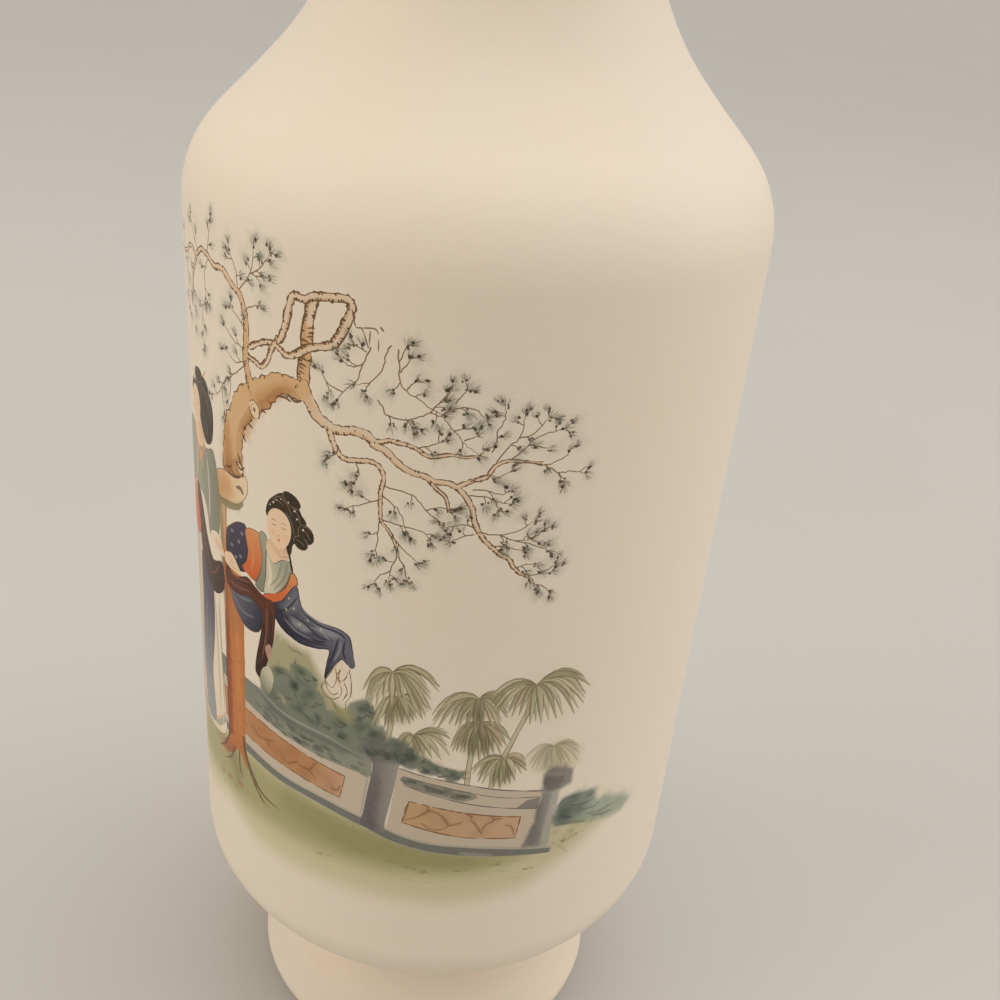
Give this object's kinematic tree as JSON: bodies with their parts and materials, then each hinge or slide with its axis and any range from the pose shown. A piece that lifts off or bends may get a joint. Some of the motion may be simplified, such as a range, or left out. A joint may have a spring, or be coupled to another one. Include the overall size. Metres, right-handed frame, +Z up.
{
  "type": "vase",
  "caption": "Tall frosted opal glass vase for flowers or display: straight round body, sloping shoulder, narrow neck, flared mouth and a spreading hollow foot.",
  "frame": {"origin": "centre of the standing ring under the foot, on the surface that the vase stands on", "axes": "+Z up along the axis of the vase; -Y is the side that is seen first, and the printed scene reaches from its middle round the -X side"},
  "size_m": [0.1, 0.1, 0.2555],
  "materials": {
    "opal_glass": "opaque creamy white opal glass, acid-frosted to a soft satin sheen, with a fired enamel print on one side"
  },
  "bodies": {
    "root": {"vase": "opal_glass"}
  },
  "joints": []
}
